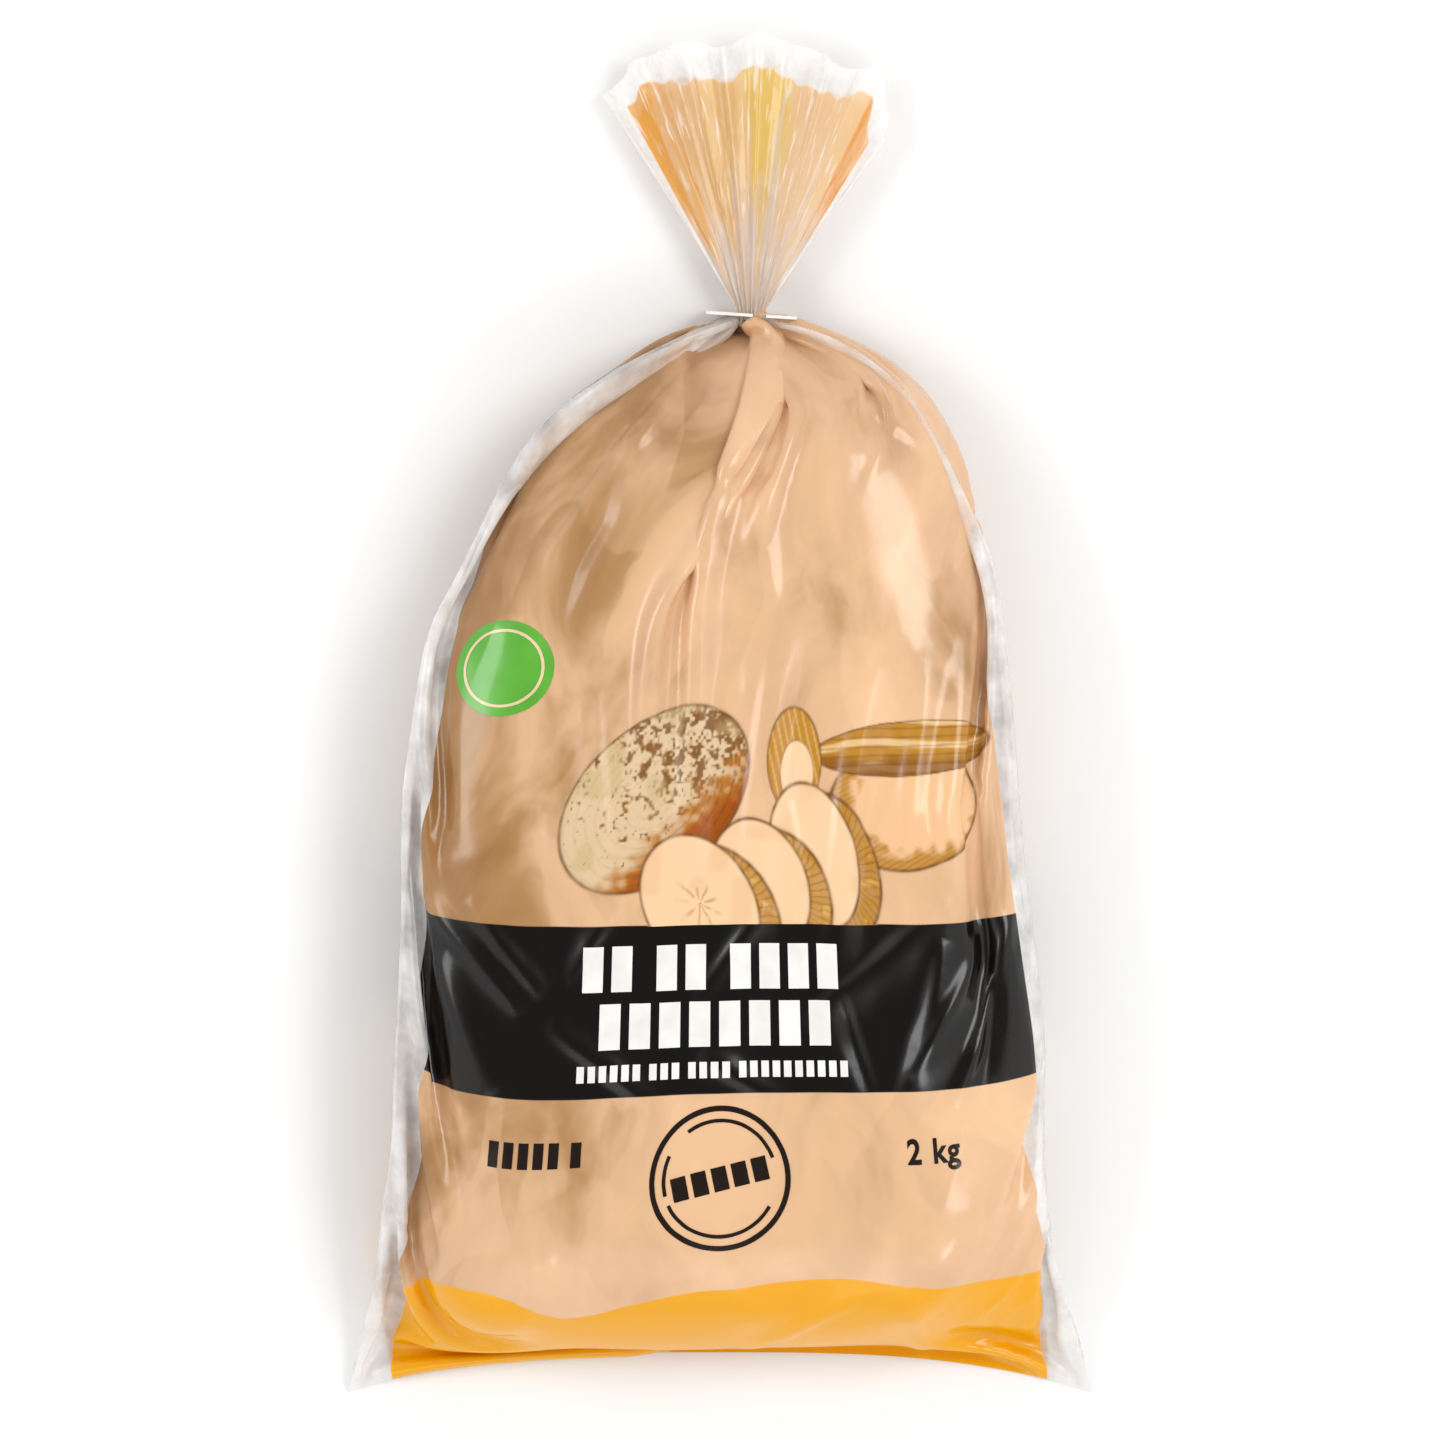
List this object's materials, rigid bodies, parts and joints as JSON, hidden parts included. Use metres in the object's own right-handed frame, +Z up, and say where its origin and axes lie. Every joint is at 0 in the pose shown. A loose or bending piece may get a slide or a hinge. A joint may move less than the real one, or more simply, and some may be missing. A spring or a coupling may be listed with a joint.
{
  "type": "bag of potatoes",
  "caption": "Clear plastic bag with a printed front, filled with whole potatoes, tied at the neck with a flat white plastic tag, lying on its back.",
  "frame": {"origin": "centre of the footprint of the whole bag, on the surface that it lies on", "axes": "+Y along the bag from the bottom seal to the mouth, +X across it, +Z up, out of the printed front"},
  "size_m": [0.28, 0.5082, 0.0626],
  "materials": {
    "printed_film": "gloss",
    "closure_plastic": "satin",
    "potato_skin": "matte"
  },
  "bodies": {
    "root": {"bag_film": "printed_film", "neck_closure": "closure_plastic", "potato_01": "potato_skin", "potato_02": "potato_skin", "potato_03": "potato_skin", "potato_04": "potato_skin", "potato_05": "potato_skin", "potato_06": "potato_skin", "potato_07": "potato_skin", "potato_08": "potato_skin", "potato_09": "potato_skin", "potato_10": "potato_skin", "potato_11": "potato_skin", "potato_12": "potato_skin", "potato_13": "potato_skin", "potato_14": "potato_skin"}
  },
  "joints": []
}
